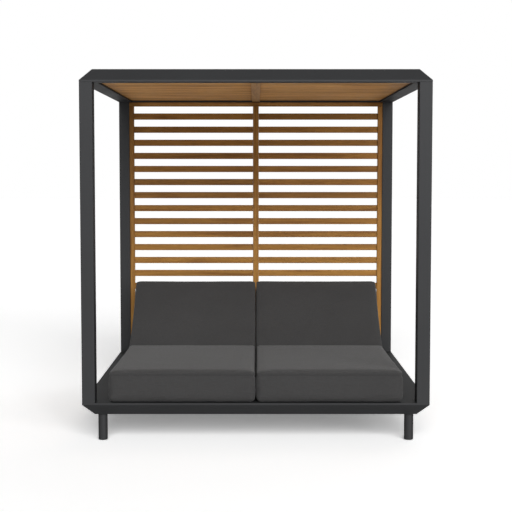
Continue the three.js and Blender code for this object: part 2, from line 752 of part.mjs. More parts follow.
for (const side of sides) {
  const hinge = hinge_shapes(side.turn);
  add(`seat_deck_${side.name}`, 'frame', seat_deck_shape(side.turn));
  add(`hinge_bracket_inner_${side.name}`, 'steel', hinge.inner_bracket);
  add(`hinge_bracket_outer_${side.name}`, 'steel', hinge.outer_bracket);
  add(`hinge_pin_inner_${side.name}`, 'steel', hinge.inner_pin);
  add(`hinge_pin_outer_${side.name}`, 'steel', hinge.outer_pin);
  add(`prop_rack_${side.name}`, 'steel', rack_shape(side.turn));
  add(`seat_cushion_${side.name}`, 'cushion', seat_cushion(side.turn));

  const backrest = new THREE.Group();
  backrest.position.set(0, hinge_y, hinge_z);
  backrest.rotation.x = degrees(rest_recline);
  part.add(backrest);
  add(`backrest_frame_${side.name}`, 'frame', backrest_frame_shape(side.turn), backrest);
  add(`back_cushion_${side.name}`, 'cushion', back_cushion(side.turn), backrest);
  add(`prop_pin_${side.name}`, 'steel', prop_pin_shape(side.turn), backrest);

  const prop = new THREE.Group();
  prop.position.set(0, prop_pivot_along, -prop_pivot_below);
  prop.rotation.x = prop_angle(rest_recline);
  backrest.add(prop);
  add(`prop_${side.name}`, 'steel', prop_shape(side.turn), prop);
}

// Wooden back between the rear posts

function back_rail_shape(bottom) {
  const section = eased_rectangle(back_rail_depth, back_rail_face, slat_edge);
  const rail = prism(section, 'x', -wood_half_width, wood_half_width);
  return rail.translate(0, wood_front_y + back_rail_depth / 2, bottom + back_rail_face / 2);
}

const back_bottom = deck_height + touching_gap;
const back_top = roof_bottom - touching_gap;
const back_opening = [back_bottom + back_rail_face, back_top - back_rail_face];

// An upright between the top and bottom rails, from one X to another
function stile_shape(from, to) {
  const section = eased_rectangle(to - from, back_rail_depth, slat_edge);
  const stile = prism(section, 'z', back_opening[0] + touching_gap, back_opening[1] - touching_gap);
  return stile.translate((from + to) / 2, wood_front_y + back_rail_depth / 2, 0);
}

// A side stile with its slats, which run to the centre stile
function back_ladder_shape(turn) {
  const stile = to_solid(stile_shape(wood_half_width - side_stile_face, wood_half_width));
  const clear = back_opening[1] - back_opening[0];
  const gap = (clear - back_slat_count * slat_face) / (back_slat_count + 1);
  const section = eased_rectangle(slat_thickness, slat_face, slat_edge);
  const from = centre_stile_face / 2 + touching_gap;
  const to = wood_half_width - side_stile_face / 2;
  const slats = [];
  for (let i = 0; i < back_slat_count; i++) {
    const middle = back_opening[1] - gap - slat_face / 2 - i * (gap + slat_face);
    const slat = prism(section, 'x', from, to);
    slats.push(to_solid(slat.translate(0, wood_front_y + back_slat_setback + slat_thickness / 2, middle)));
  }
  return mirrored(join([stile, ...slats]), turn);
}

add('back_rail_top', 'teak', back_rail_shape(back_opening[1]));
add('back_rail_bottom', 'teak', back_rail_shape(back_bottom));
add('back_stile_centre', 'teak', stile_shape(-centre_stile_face / 2, centre_stile_face / 2));

// Wooden roof inside the roof rails: a centre beam, and slats across with a batten on top

const roof_inner_y = half_depth - roof_rail_width - touching_gap;
const roof_slat_bottom = roof_bottom + roof_ledge_thickness + touching_gap;

function roof_beam_shape() {
  const bottom = roof_slat_bottom - roof_beam_drop;
  const ledge_y = roof_inner_y - roof_ledge_width;
  const side_view = outline([
    [-roof_inner_y, roof_slat_bottom], [-ledge_y, roof_slat_bottom], [-ledge_y, bottom],
    [ledge_y, bottom], [ledge_y, roof_slat_bottom], [roof_inner_y, roof_slat_bottom],
    [roof_inner_y, bottom + roof_beam_height], [-roof_inner_y, bottom + roof_beam_height],
  ]);
  return prism(side_view, 'x', -roof_beam_face / 2, roof_beam_face / 2);
}

function roof_ladder_shape(turn) {
  const from = roof_beam_face / 2 + touching_gap;
  const rail_face = half_width - roof_rail_width;
  const pitch = (2 * roof_inner_y - slat_face) / (roof_slat_count - 1);
  const section = eased_rectangle(slat_face, slat_thickness, slat_edge);
  const middle_z = roof_slat_bottom + slat_thickness / 2;
  const slats = [];
  for (let i = 0; i < roof_slat_count; i++) {
    const middle_y = -roof_inner_y + slat_face / 2 + i * pitch;
    const slat = prism(section, 'x', from, rail_face - touching_gap);
    slats.push(to_solid(slat.translate(0, middle_y, middle_z)));
  }
  const batten_outer = rail_face - roof_batten_from_rail;
  const batten_bottom = roof_slat_bottom + slat_thickness - batten_let_in;
  const batten = block(
    [batten_outer - roof_batten_width, batten_outer],
    [-roof_inner_y, roof_inner_y],
    [batten_bottom, batten_bottom + roof_batten_thickness],
  );
  return mirrored(join([...slats, batten]), turn);
}

add('roof_beam', 'teak', roof_beam_shape());
for (const side of sides) {
  add(`back_slats_${side.name}`, 'teak', back_ladder_shape(side.turn));
  add(`roof_slats_${side.name}`, 'teak', roof_ladder_shape(side.turn));
}

export default part;
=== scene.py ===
"""Looks of an outdoor daybed with a canopy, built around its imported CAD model.

Metres, +Z up, the front of the bed faces -Y and +X is to the right of someone who faces it.
"""

import json
import math

import bmesh
import bpy
from mathutils import Matrix, Vector, noise


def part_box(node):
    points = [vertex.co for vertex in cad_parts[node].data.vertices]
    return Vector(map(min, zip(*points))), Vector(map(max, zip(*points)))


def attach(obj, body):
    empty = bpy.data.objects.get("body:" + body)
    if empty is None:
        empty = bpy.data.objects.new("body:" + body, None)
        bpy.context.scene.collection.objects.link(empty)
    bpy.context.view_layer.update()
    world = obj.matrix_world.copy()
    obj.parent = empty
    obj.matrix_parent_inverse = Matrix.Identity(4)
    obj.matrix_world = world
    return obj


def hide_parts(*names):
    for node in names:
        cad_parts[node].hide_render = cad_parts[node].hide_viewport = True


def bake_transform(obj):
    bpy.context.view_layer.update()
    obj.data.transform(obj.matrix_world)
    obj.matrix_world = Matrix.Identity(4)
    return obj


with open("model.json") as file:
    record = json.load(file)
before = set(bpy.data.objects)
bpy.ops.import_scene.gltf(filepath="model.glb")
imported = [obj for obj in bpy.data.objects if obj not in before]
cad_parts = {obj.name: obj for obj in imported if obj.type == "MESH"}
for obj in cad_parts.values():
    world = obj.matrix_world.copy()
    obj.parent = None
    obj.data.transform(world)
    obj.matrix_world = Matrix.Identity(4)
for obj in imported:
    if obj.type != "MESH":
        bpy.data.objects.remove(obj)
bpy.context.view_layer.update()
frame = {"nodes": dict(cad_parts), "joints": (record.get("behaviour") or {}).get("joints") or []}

NODES = frame["nodes"]
SIDES = {"left": -1, "right": 1}

# Camera, fitted to the photograph
LENS_MM = 85
SENSOR_MM = 36
CAMERA_PLACE = (0.001, -7.925, 1.563)
CAMERA_PITCH_DOWN = math.radians(3.989)

# Light. An irradiance of pi makes a surface look as bright as its colour is written.
AMBIENT = 0.09
FLOOR_SEEN_COLOUR = 1.42
FLOOR_BOUNCE_COLOUR = 0.95
FLOOR_WHITENING = 0.235
FLOOR_HALF_SIZE = 60
SUNS = [
    {"name": "key", "irradiance": 0.72 * math.pi, "azimuth": 5, "elevation": 28, "softness": 36},
    {"name": "low_right", "irradiance": 0.32 * math.pi, "azimuth": 36, "elevation": 12, "softness": 26},
    {"name": "rear_fill", "irradiance": 0.12 * math.pi, "azimuth": 155, "elevation": 40, "softness": 50},
]

# Timber of the back and the roof
BACK_SLATS = 18
ROOF_SLATS = 21
SIDE_STILE_FACE = 0.033
# Painted light: the roof's wood is made paler, standing in for the light that the floor throws up under
# the roof
ROOF_PAINTED_BOUNCE_TINT = (1.3, 1.35, 1.7)
# Painted shade: the back rails are made darker, standing in for the roof's shade on the top rail
RAIL_PAINTED_SHADE_TINT = (0.88, 0.88, 0.95)

# Painted shade on the wood of the back: it is painted paler low down and darker higher up, where the
# roof shades it
ROOF_SHADE_HEIGHTS = (0.72, 1.45)
PAINTED_LOW_LIGHT_TINT = (1.03, 1.04, 0.93)
PAINTED_ROOF_SHADE_TINT = (0.75, 0.69, 0.53)

# A board's number picks its tone, and the place up to BOARD_SHIFT away that its grain is cut from.
# NO_STILE is farther out than any piece.
NO_STILE = 10.0
LONE_BOARD = 0.37
STILE_BOARD = 61.0
BOARD_SHIFT = 7.0

# How fine the grain is along a board and across it
GRAIN_ALONG = 3.5
GRAIN_ACROSS = 70.0

# Metal pieces, their brushed lines and their edges
BRUSH_SCALES = (900.0, 40.0, 40.0)
STEEL_NODES = ("hinge_bracket", "hinge_pin", "prop_pin", "prop_rack", "prop_left", "prop_right")
EDGE_EASE = 0.0012
FINE_EDGE_EASE = 0.0005
WELD_DISTANCE = 0.00002
FLAT_ANGLE = math.radians(1)
SHARP_ANGLE = math.radians(35)

# Cloth of the covers: the distance between threads, and how many slubs to a metre
THREAD_PITCH = 0.0011
SLUB_ALONG = 25.0
SLUB_ACROSS = 900.0

# Cushion shape. The top panel rolls over its seam, widest at the ends, and the seam is drawn in.
GRID_STEP = 0.0135
EDGE_RADIUS = 0.024
EDGE_STEPS = 4
ROLL_HEIGHT = 0.028
ROLL_WIDTH = {"end": 0.045, "side": 0.022, "pressed": 0.016}
ROLL_OVERHANG = math.radians(40)
OVERHANG_SHARE = 0.65
HELD_WIDTH = 0.022
CORNER_REACH = 0.12
SEAM_DRAW = 0.0115
SEAM_WALL_STEP = 0.004
SIDE_DRAW = 0.004
CROWN_HEIGHT = 0.004
INNER_FACE = {"seat": 0.005, "back": 0.002}
GAP_INSIDE = 0.0008
GAP_OUTSIDE = 0.0075
GAP_DEPTH = {"seat": 0.09, "back": 0.015}
GAP_TOP_SHARES = (0.45, 0.8)
SEAT_FALL_SHARE = 0.085
BACK_SLANT = 0.045

# The cover as a cloth, with a little slack so that it swells
CLOTH_FRAMES = 20
CLOTH = {
    "quality": 5,
    "mass": 0.3,
    "tension_stiffness": 15,
    "compression_stiffness": 15,
    "shear_stiffness": 5,
    "bending_stiffness": 0.5,
    "use_pressure": True,
    "uniform_pressure_force": 4,
    "shrink_min": -0.006,
}
MOST_SWELL = 0.006

# The covers wrinkle most in front of the seats, between these places along Y
WRINKLED_FRONT = (-1.0, -0.95)
WRINKLE_SCALES = (13.0, 13.0, 75.0)

# Faint creases in the covers: how deep, and how many to a metre along X, Y and Z
CREASES = [(0.0008, (5, 9, 34)), (0.0004, (22, 22, 30))]
CREASE_SHIFT = (3.7, 1.9, 5.3)


# Node trees


class Tree:
    """A short way to write a material's or a world's nodes."""

    def __init__(self, owner):
        owner.use_nodes = True
        self.nodes = owner.node_tree.nodes
        self.links = owner.node_tree.links
        self.nodes.clear()

    def add(self, kind, inputs=None, **settings):
        """A node with its settings. Inputs are values, or outputs of other nodes to link from."""
        node = self.nodes.new(kind)
        for name, value in settings.items():
            setattr(node, name, value)
        for name, value in (inputs or {}).items():
            if isinstance(value, bpy.types.NodeSocket):
                self.links.new(value, node.inputs[name])
            else:
                node.inputs[name].default_value = value
        return node

    def math(self, operation, a, b=0.0, clamp=False):
        node = self.add("ShaderNodeMath", {0: a, 1: b}, operation=operation, use_clamp=clamp)
        return node.outputs[0]

    def vector(self, operation, a, b):
        return self.add("ShaderNodeVectorMath", {0: a, 1: b}, operation=operation).outputs[0]

    def stretch(self, place, scales):
        return self.add("ShaderNodeMapping", {"Vector": place, "Scale": scales}).outputs[0]

    def mix(self, share, a, b, blend="MIX"):
        """Two colours mixed by a share."""
        node = self.add("ShaderNodeMix", data_type="RGBA", blend_type=blend)
        for index, value in ((0, share), (6, a), (7, b)):
            if isinstance(value, bpy.types.NodeSocket):
                self.links.new(value, node.inputs[index])
            else:
                node.inputs[index].default_value = value
        return node.outputs[2]

    def noise(self, place, scale, detail=3.0, roughness=0.5, distortion=0.0):
        inputs = {
            "Vector": place, "Scale": scale, "Detail": detail,
            "Roughness": roughness, "Distortion": distortion,
        }
        return self.add("ShaderNodeTexNoise", inputs).outputs["Fac"]

    def ramp(self, value, stops):
        node = self.add("ShaderNodeValToRGB", {"Fac": value})
        ramp = node.color_ramp
        while len(ramp.elements) < len(stops):
            ramp.elements.new(0.5)
        for element, (place, colour) in zip(ramp.elements, stops):
            element.position = place
            element.color = colour
        return node.outputs["Color"]

    def span(self, value, low, high, to_low=0.0, to_high=1.0):
        inputs = {"Value": value, 1: low, 2: high, 3: to_low, 4: to_high}
        return self.add("ShaderNodeMapRange", inputs).outputs[0]

    def bump(self, height, distance, strength, normal=None):
        inputs = {"Height": height, "Distance": distance, "Strength": strength}
        if normal is not None:
            inputs["Normal"] = normal
        return self.add("ShaderNodeBump", inputs).outputs["Normal"]


def rgb(red, green, blue):
    return (red, green, blue, 1.0)


def material(name):
    made = bpy.data.materials.new(name)
    tree = Tree(made)
    shader = tree.add("ShaderNodeBsdfPrincipled")
    output = tree.add("ShaderNodeOutputMaterial")
    tree.links.new(shader.outputs["BSDF"], output.inputs["Surface"])
    return made, tree, shader


def object_place(tree):
    return tree.add("ShaderNodeTexCoord").outputs["Object"]


# Scene: camera, white surroundings, floor and lights


def make_camera():
    data = bpy.data.cameras.new("camera")
    data.lens = LENS_MM
    data.sensor_width = SENSOR_MM
    data.clip_end = 200
    camera = bpy.data.objects.new("camera", data)
    camera.location = CAMERA_PLACE
    camera.rotation_euler = (math.pi / 2 - CAMERA_PITCH_DOWN, 0, 0)
    bpy.context.scene.collection.objects.link(camera)
    bpy.context.scene.camera = camera


def seen_directly(tree):
    """1 for camera, glossy and transmission rays, which see the white surroundings, or else 0."""
    path = tree.add("ShaderNodeLightPath")
    glossy = tree.math("ADD", path.outputs["Is Camera Ray"], path.outputs["Is Glossy Ray"])
    return tree.math("ADD", glossy, path.outputs["Is Transmission Ray"], clamp=True)


def make_world():
    world = bpy.data.worlds.new("studio")
    bpy.context.scene.world = world
    tree = Tree(world)
    strength = tree.span(seen_directly(tree), 0.0, 1.0, AMBIENT, 1.0)
    background = tree.add("ShaderNodeBackground", {"Color": rgb(1, 1, 1), "Strength": strength})
    output = tree.add("ShaderNodeOutputWorld")
    tree.links.new(background.outputs[0], output.inputs["Surface"])


def make_floor():
    made = bpy.data.materials.new("studio_floor")
    tree = Tree(made)
    seen = seen_directly(tree)
    shade = tree.span(seen, 0.0, 1.0, FLOOR_BOUNCE_COLOUR, FLOOR_SEEN_COLOUR)
    diffuse = tree.add("ShaderNodeBsdfDiffuse", {"Color": shade})
    glow = tree.math("MULTIPLY", seen, FLOOR_WHITENING)
    emission = tree.add("ShaderNodeEmission", {"Color": rgb(1, 1, 1), "Strength": glow})
    total = tree.add("ShaderNodeAddShader", {0: diffuse.outputs[0], 1: emission.outputs[0]})
    output = tree.add("ShaderNodeOutputMaterial")
    tree.links.new(total.outputs[0], output.inputs["Surface"])
    mesh = bpy.data.meshes.new("floor")
    half = FLOOR_HALF_SIZE
    corners = [(-half, -half, 0), (half, -half, 0), (half, half, 0), (-half, half, 0)]
    mesh.from_pydata(corners, [], [(0, 1, 2, 3)])
    mesh.materials.append(made)
    floor = bpy.data.objects.new("floor", mesh)
    bpy.context.scene.collection.objects.link(floor)


def make_lights():
    """Wide soft lights, far away. Azimuth 0 is the front, and it grows towards the right."""
    for sun in SUNS:
        data = bpy.data.lights.new(sun["name"], "SUN")
        data.energy = sun["irradiance"]
        data.angle = math.radians(sun["softness"])
        light = bpy.data.objects.new(sun["name"], data)
        azimuth = math.radians(sun["azimuth"])
        elevation = math.radians(sun["elevation"])
        towards = Vector((
            math.sin(azimuth) * math.cos(elevation),
            -math.cos(azimuth) * math.cos(elevation),
            math.sin(elevation),
        ))
        light.rotation_euler = towards.to_track_quat("Z", "Y").to_euler()
        bpy.context.scene.collection.objects.link(light)


# Finishes


def powder_coat():
    """Charcoal powder coat with metal flake in it: a fine grain, a little glossier in patches."""
    made, tree, shader = material("frame_powder_coat")
    place = object_place(tree)
    patches = tree.noise(place, scale=3.0, detail=2.0)
    grain = tree.noise(place, scale=900.0, detail=2.0)
    colour = tree.mix(patches, rgb(0.037, 0.0375, 0.0388), rgb(0.043, 0.0435, 0.045))
    speckle = tree.span(grain, 0.3, 0.7, 0.9, 1.1)
    colour = tree.mix(1.0, colour, speckle, blend="MULTIPLY")
    tree.links.new(colour, shader.inputs["Base Color"])
    tree.links.new(tree.span(patches, 0.2, 0.8, 0.46, 0.54), shader.inputs["Roughness"])
    shader.inputs["Metallic"].default_value = 0.55
    shader.inputs["Specular IOR Level"].default_value = 0.1
    shader.inputs["Specular Tint"].default_value = rgb(0, 0, 0)
    tree.links.new(tree.bump(grain, distance=0.00012, strength=0.5), shader.inputs["Normal"])
    return made


def satin_steel():
    """Stainless steel, brushed across the piece."""
    made, tree, shader = material("mechanism_satin_steel")
    place = object_place(tree)
    lines = tree.noise(tree.stretch(place, BRUSH_SCALES), scale=1.0, detail=4.0)
    shader.inputs["Metallic"].default_value = 1.0
    colour = tree.mix(lines, rgb(0.38, 0.39, 0.40), rgb(0.52, 0.53, 0.54))
    tree.links.new(colour, shader.inputs["Base Color"])
    tree.links.new(tree.span(lines, 0.2, 0.8, 0.28, 0.42), shader.inputs["Roughness"])
    tree.links.new(tree.bump(lines, distance=0.00006, strength=0.5), shader.inputs["Normal"])
    return made


def glide_plastic():
    made, tree, shader = material("glide_black_plastic")
    place = object_place(tree)
    grain = tree.noise(place, scale=700.0)
    wear = tree.noise(place, scale=60.0)
    colour = tree.mix(wear, rgb(0.014, 0.014, 0.015), rgb(0.026, 0.026, 0.026))
    tree.links.new(colour, shader.inputs["Base Color"])
    tree.links.new(tree.span(wear, 0.0, 1.0, 0.5, 0.7), shader.inputs["Roughness"])
    tree.links.new(tree.bump(grain, distance=0.00015, strength=0.6), shader.inputs["Normal"])
    return made


def teak(
    name, grain_axis, board_axis=None, board_start=0.0, board_pitch=1.0,
    stile_from=NO_STILE, tint=(1, 1, 1), roof_shade_painted=True,
):
    """Oiled teak with its grain along one axis. board_axis counts boards, each with its own tone.
    Beyond stile_from, measured along X from the middle, the grain turns upright. Where the roof's
    shade is painted, the wood is painted paler low down and darker higher up, under the roof."""
    made, tree, shader = material(name)
    place = object_place(tree)
    parts = tree.add("ShaderNodeSeparateXYZ", {"Vector": place}).outputs
    if board_axis is None:
        board = tree.math("ADD", 0.0, LONE_BOARD)
    else:
        from_start = tree.math("SUBTRACT", parts[board_axis], board_start)
        board = tree.math("FLOOR", tree.math("DIVIDE", from_start, board_pitch))
    side = tree.math("GREATER_THAN", parts["X"], 0.0)
    across = tree.math("ABSOLUTE", parts["X"])
    stile = tree.math("GREATER_THAN", across, stile_from)
    board = tree.math("ADD", tree.math("MULTIPLY", board, tree.math("SUBTRACT", 1.0, stile)), side)
    board = tree.math("ADD", board, tree.math("MULTIPLY", stile, STILE_BOARD))
    own = tree.add("ShaderNodeTexWhiteNoise", {"W": board}, noise_dimensions="1D")
    cut_from = tree.vector("MULTIPLY", own.outputs["Color"], (BOARD_SHIFT, BOARD_SHIFT, BOARD_SHIFT))
    moved = tree.vector("ADD", place, cut_from)
    scales = [GRAIN_ACROSS] * 3
    scales["XYZ".index(grain_axis)] = GRAIN_ALONG
    grained = tree.stretch(moved, scales)
    upright = tree.stretch(moved, (GRAIN_ACROSS, GRAIN_ACROSS, GRAIN_ALONG))
    grained = tree.mix(stile, grained, upright)
    bands = tree.noise(grained, scale=0.55, detail=3.0, distortion=0.6)
    fibre = tree.noise(grained, scale=5.0, detail=5.0, roughness=0.65)
    pores = tree.noise(grained, scale=11.0, detail=2.0)
    colour = tree.ramp(bands, [
        (0.28, rgb(0.228, 0.095, 0.018)),
        (0.47, rgb(0.335, 0.156, 0.033)),
        (0.58, rgb(0.394, 0.192, 0.044)),
        (0.75, rgb(0.281, 0.123, 0.026)),
    ])
    # The tint is painted light on the roof slats and painted shade on the back rails
    colour = tree.mix(1.0, colour, rgb(*tint), blend="MULTIPLY")
    # Painted shade: paler low down and darker higher up, where the roof shades the back
    if roof_shade_painted:
        height_share = tree.span(parts["Z"], *ROOF_SHADE_HEIGHTS)
        painted_roof_shade = tree.mix(height_share, rgb(*PAINTED_LOW_LIGHT_TINT), rgb(*PAINTED_ROOF_SHADE_TINT))
        colour = tree.mix(1.0, colour, painted_roof_shade, blend="MULTIPLY")
    streaks = tree.span(fibre, 0.35, 0.7, 0.84, 1.1)
    colour = tree.mix(1.0, colour, streaks, blend="MULTIPLY")
    dots = tree.span(pores, 0.62, 0.72, 1.0, 0.72)
    colour = tree.mix(1.0, colour, dots, blend="MULTIPLY")
    tone = tree.span(own.outputs["Value"], 0.0, 1.0, 0.84, 1.14)
    colour = tree.mix(1.0, colour, tone, blend="MULTIPLY")
    tree.links.new(colour, shader.inputs["Base Color"])
    tree.links.new(tree.span(fibre, 0.3, 0.7, 0.48, 0.64), shader.inputs["Roughness"])
    shader.inputs["Specular IOR Level"].default_value = 0.25
    height = tree.math("SUBTRACT", fibre, tree.math("MULTIPLY", tree.span(pores, 0.62, 0.72), 0.6))
    tree.links.new(tree.bump(height, distance=0.0004, strength=0.5), shader.inputs["Normal"])
    return made


def fabric():
    """Charcoal solution-dyed acrylic in a plain weave, which follows each panel's map in metres."""
    made, tree, shader = material("cushion_weave")
    panel_place = tree.add("ShaderNodeUVMap", uv_map="weave").outputs["UV"]
    parts = tree.add("ShaderNodeSeparateXYZ", {"Vector": panel_place}).outputs
    thread_turns = math.pi / THREAD_PITCH
    warp = tree.math("SINE", tree.math("MULTIPLY", parts["X"], thread_turns))
    weft = tree.math("SINE", tree.math("MULTIPLY", parts["Y"], thread_turns))
    weave = tree.span(tree.math("MULTIPLY", warp, weft), -1.0, 1.0)
    place = object_place(tree)
    slubs_x = tree.noise(tree.stretch(panel_place, (SLUB_ALONG, SLUB_ACROSS, 1.0)), scale=1.0)
    slubs_y = tree.noise(tree.stretch(panel_place, (SLUB_ACROSS, SLUB_ALONG, 1.0)), scale=1.0)
    slub = tree.math("MULTIPLY", tree.math("ADD", slubs_x, slubs_y), 0.5)
    patches = tree.noise(place, scale=5.0, detail=3.0)
    colour = tree.mix(weave, rgb(0.0357, 0.035, 0.035), rgb(0.0512, 0.0502, 0.0502))
    colour = tree.mix(1.0, colour, tree.span(slub, 0.35, 0.65, 0.86, 1.14), blend="MULTIPLY")
    colour = tree.mix(1.0, colour, tree.span(patches, 0.3, 0.7, 0.96, 1.04), blend="MULTIPLY")
    tree.links.new(colour, shader.inputs["Base Color"])
    shader.inputs["Roughness"].default_value = 0.9
    shader.inputs["Specular IOR Level"].default_value = 0.2
    shader.inputs["Sheen Weight"].default_value = 0.11
    shader.inputs["Sheen Roughness"].default_value = 0.5
    ripples = tree.noise(tree.stretch(place, WRINKLE_SCALES), scale=1.0, detail=2.0, distortion=0.4)
    wrinkles = tree.span(ripples, 0.56, 0.72)
    from_front = tree.add("ShaderNodeSeparateXYZ", {"Vector": place}).outputs["Y"]
    taut = tree.span(from_front, *WRINKLED_FRONT, 1.0, 0.3)
    folds = tree.math("MULTIPLY", wrinkles, taut)
    folded = tree.bump(folds, distance=0.0022, strength=0.7)
    height = tree.math("ADD", weave, tree.math("MULTIPLY", slub, 0.7))
    woven = tree.bump(height, distance=0.00035, strength=0.6, normal=folded)
    tree.links.new(woven, shader.inputs["Normal"])
    return made


def finish_cad_nodes():
    """Gives each CAD node its finish, eases its sharp edges and shades its round faces smooth."""
    coat = powder_coat()
    steel = satin_steel()
    plastic = glide_plastic()
    lowest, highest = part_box("back_slats_right")
    stile_inner = highest.x - SIDE_STILE_FACE
    back_pitch = (highest.z - lowest.z) / BACK_SLATS
    roof_low, roof_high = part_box("roof_slats_right")
    roof_pitch = (roof_high.y - roof_low.y) / ROOF_SLATS
    woods = {
        "back_slats": teak("teak_back_slats", "X", "Z", lowest.z, back_pitch, stile_inner),
        "roof_slats": teak(
            "teak_roof_slats", "X", "Y", roof_low.y, roof_pitch, tint=ROOF_PAINTED_BOUNCE_TINT, roof_shade_painted=False,
        ),
        "back_rail": teak("teak_back_rails", "X", "Z", 0.0, 1.0, tint=RAIL_PAINTED_SHADE_TINT),
        "back_stile": teak("teak_centre_stile", "Z"),
        "roof_beam": teak("teak_roof_beam", "Y", roof_shade_painted=False),
    }
    for name, node in NODES.items():
        wood = [made for start, made in woods.items() if name.startswith(start)]
        if wood:
            finish = wood[0]
        elif name.startswith(STEEL_NODES):
            finish = steel
        elif name.startswith("glide"):
            finish = plastic
        else:
            finish = coat
        node.data.materials.clear()
        node.data.materials.append(finish)
        soften(node, EDGE_EASE if finish in (coat, *woods.values()) else FINE_EDGE_EASE)


def soften(node, width):
    """Welds a node's faces, rounds its sharp edges slightly and shades it smooth between them."""
    node.data.polygons.foreach_set("use_smooth", [True] * len(node.data.polygons))
    weld = node.modifiers.new("weld", "WELD")
    weld.merge_threshold = WELD_DISTANCE
    plain = node.modifiers.new("plain_faces", "DECIMATE")
    plain.decimate_type = "DISSOLVE"
    plain.angle_limit = FLAT_ANGLE
    bevel = node.modifiers.new("eased_edges", "BEVEL")
    bevel.width = width
    bevel.segments = 2
    bevel.limit_method = "ANGLE"
    bevel.angle_limit = SHARP_ANGLE
    bevel.miter_outer = "MITER_ARC"
    normals = node.modifiers.new("even_normals", "WEIGHTED_NORMAL")
    normals.keep_sharp = False


# Cushions. Each is made flat, in the place of its CAD solid: X across, Y along it, Z out of it.


def edge_lines(half):
    """Places along one axis of a cushion, closer together at its two rounded edges."""
    inner = half - EDGE_RADIUS
    angles = [math.radians(45) * step / EDGE_STEPS for step in range(EDGE_STEPS, 0, -1)]
    low = [-inner - EDGE_RADIUS * math.tan(angle) for angle in angles]
    count = max(2, round(2 * inner / GRID_STEP))
    middle = [-inner + 2 * inner * i / count for i in range(count + 1)]
    return low + middle + [-place for place in reversed(low)]


def wall_lines(height):
    """Heights up a cushion's side, from its rounded foot to its seam. The last step is a short one."""
    angles = [math.radians(45) * step / EDGE_STEPS for step in range(EDGE_STEPS, 0, -1)]
    foot = [EDGE_RADIUS * (1 - math.tan(angle)) for angle in angles]
    even = height - SEAM_WALL_STEP - EDGE_RADIUS
    count = round(even / GRID_STEP)
    return foot + [EDGE_RADIUS + even * i / count for i in range(count + 1)] + [height]


def rounded(place, half):
    """Moves a point of a box's surface so that the upright edges and the foot are round."""
    inner = half.xy - Vector((EDGE_RADIUS, EDGE_RADIUS))
    core = Vector((
        max(-inner.x, min(inner.x, place.x)),
        max(-inner.y, min(inner.y, place.y)),
        max(EDGE_RADIUS, place.z),
    ))
    out = place - core
    reach = max(abs(value) for value in out)
    return core + out * (reach / out.length) if out.length > 0 else place.copy()


def roll(distance, width):
    """The round of the panel beside its seam, at a flat distance from it: how far the panel has
    risen, as a share, and how far it ends up from the edge."""
    if distance >= width:
        return 1.0, distance
    angle = -ROLL_OVERHANG + (math.pi / 2 + ROLL_OVERHANG) * max(0.0, distance) / width
    if angle >= 0:
        return OVERHANG_SHARE + (1 - OVERHANG_SHARE) * math.sin(angle), width * (1 - math.cos(angle))
    inset = SEAM_DRAW * (1 - math.cos(angle)) / (1 - math.cos(ROLL_OVERHANG))
    return OVERHANG_SHARE * (1 + math.sin(angle) / math.sin(ROLL_OVERHANG)), inset


def panel_point(place, half, crease):
    """A point of the top panel. The roll flattens out towards the corners, and its sides are
    wider near the end that isn't pressed against a neighbour."""
    away = [half.x - abs(place.x), half.y - abs(place.y)]
    pressed = crease * place.y > 0
    near_end = max(0.0, 1 - away[1] / CORNER_REACH) * (not pressed)
    side_width = ROLL_WIDTH["side"] + near_end * (ROLL_WIDTH["end"] - ROLL_WIDTH["side"])
    end_width = ROLL_WIDTH["pressed"] if pressed else ROLL_WIDTH["end"]
    rise_x, inset_x = roll(away[0], side_width)
    rise_y, inset_y = roll(away[1], end_width)
    swell = (1 - (place.x / half.x) ** 2) * (1 - (place.y / half.y) ** 2)
    point = rounded(place, half)
    point.x += (away[0] - inset_x) * rise_y * math.copysign(1, place.x)
    point.y += (away[1] - inset_y) * rise_x * math.copysign(1, place.y)
    point.z += ROLL_HEIGHT * rise_x * rise_y + CROWN_HEIGHT * swell
    return point


def draw_sides(point, half, outward):
    """Pulls the sides in between the corners, apart from the one that faces the other cushion."""
    x_share, y_share = point.x / half.x, point.y / half.y
    if x_share * outward > 0:
        point.x -= SIDE_DRAW * x_share ** 5 * max(0.0, 1 - y_share ** 2)
    point.y -= SIDE_DRAW * y_share ** 5 * max(0.0, 1 - x_share ** 2)
    return point


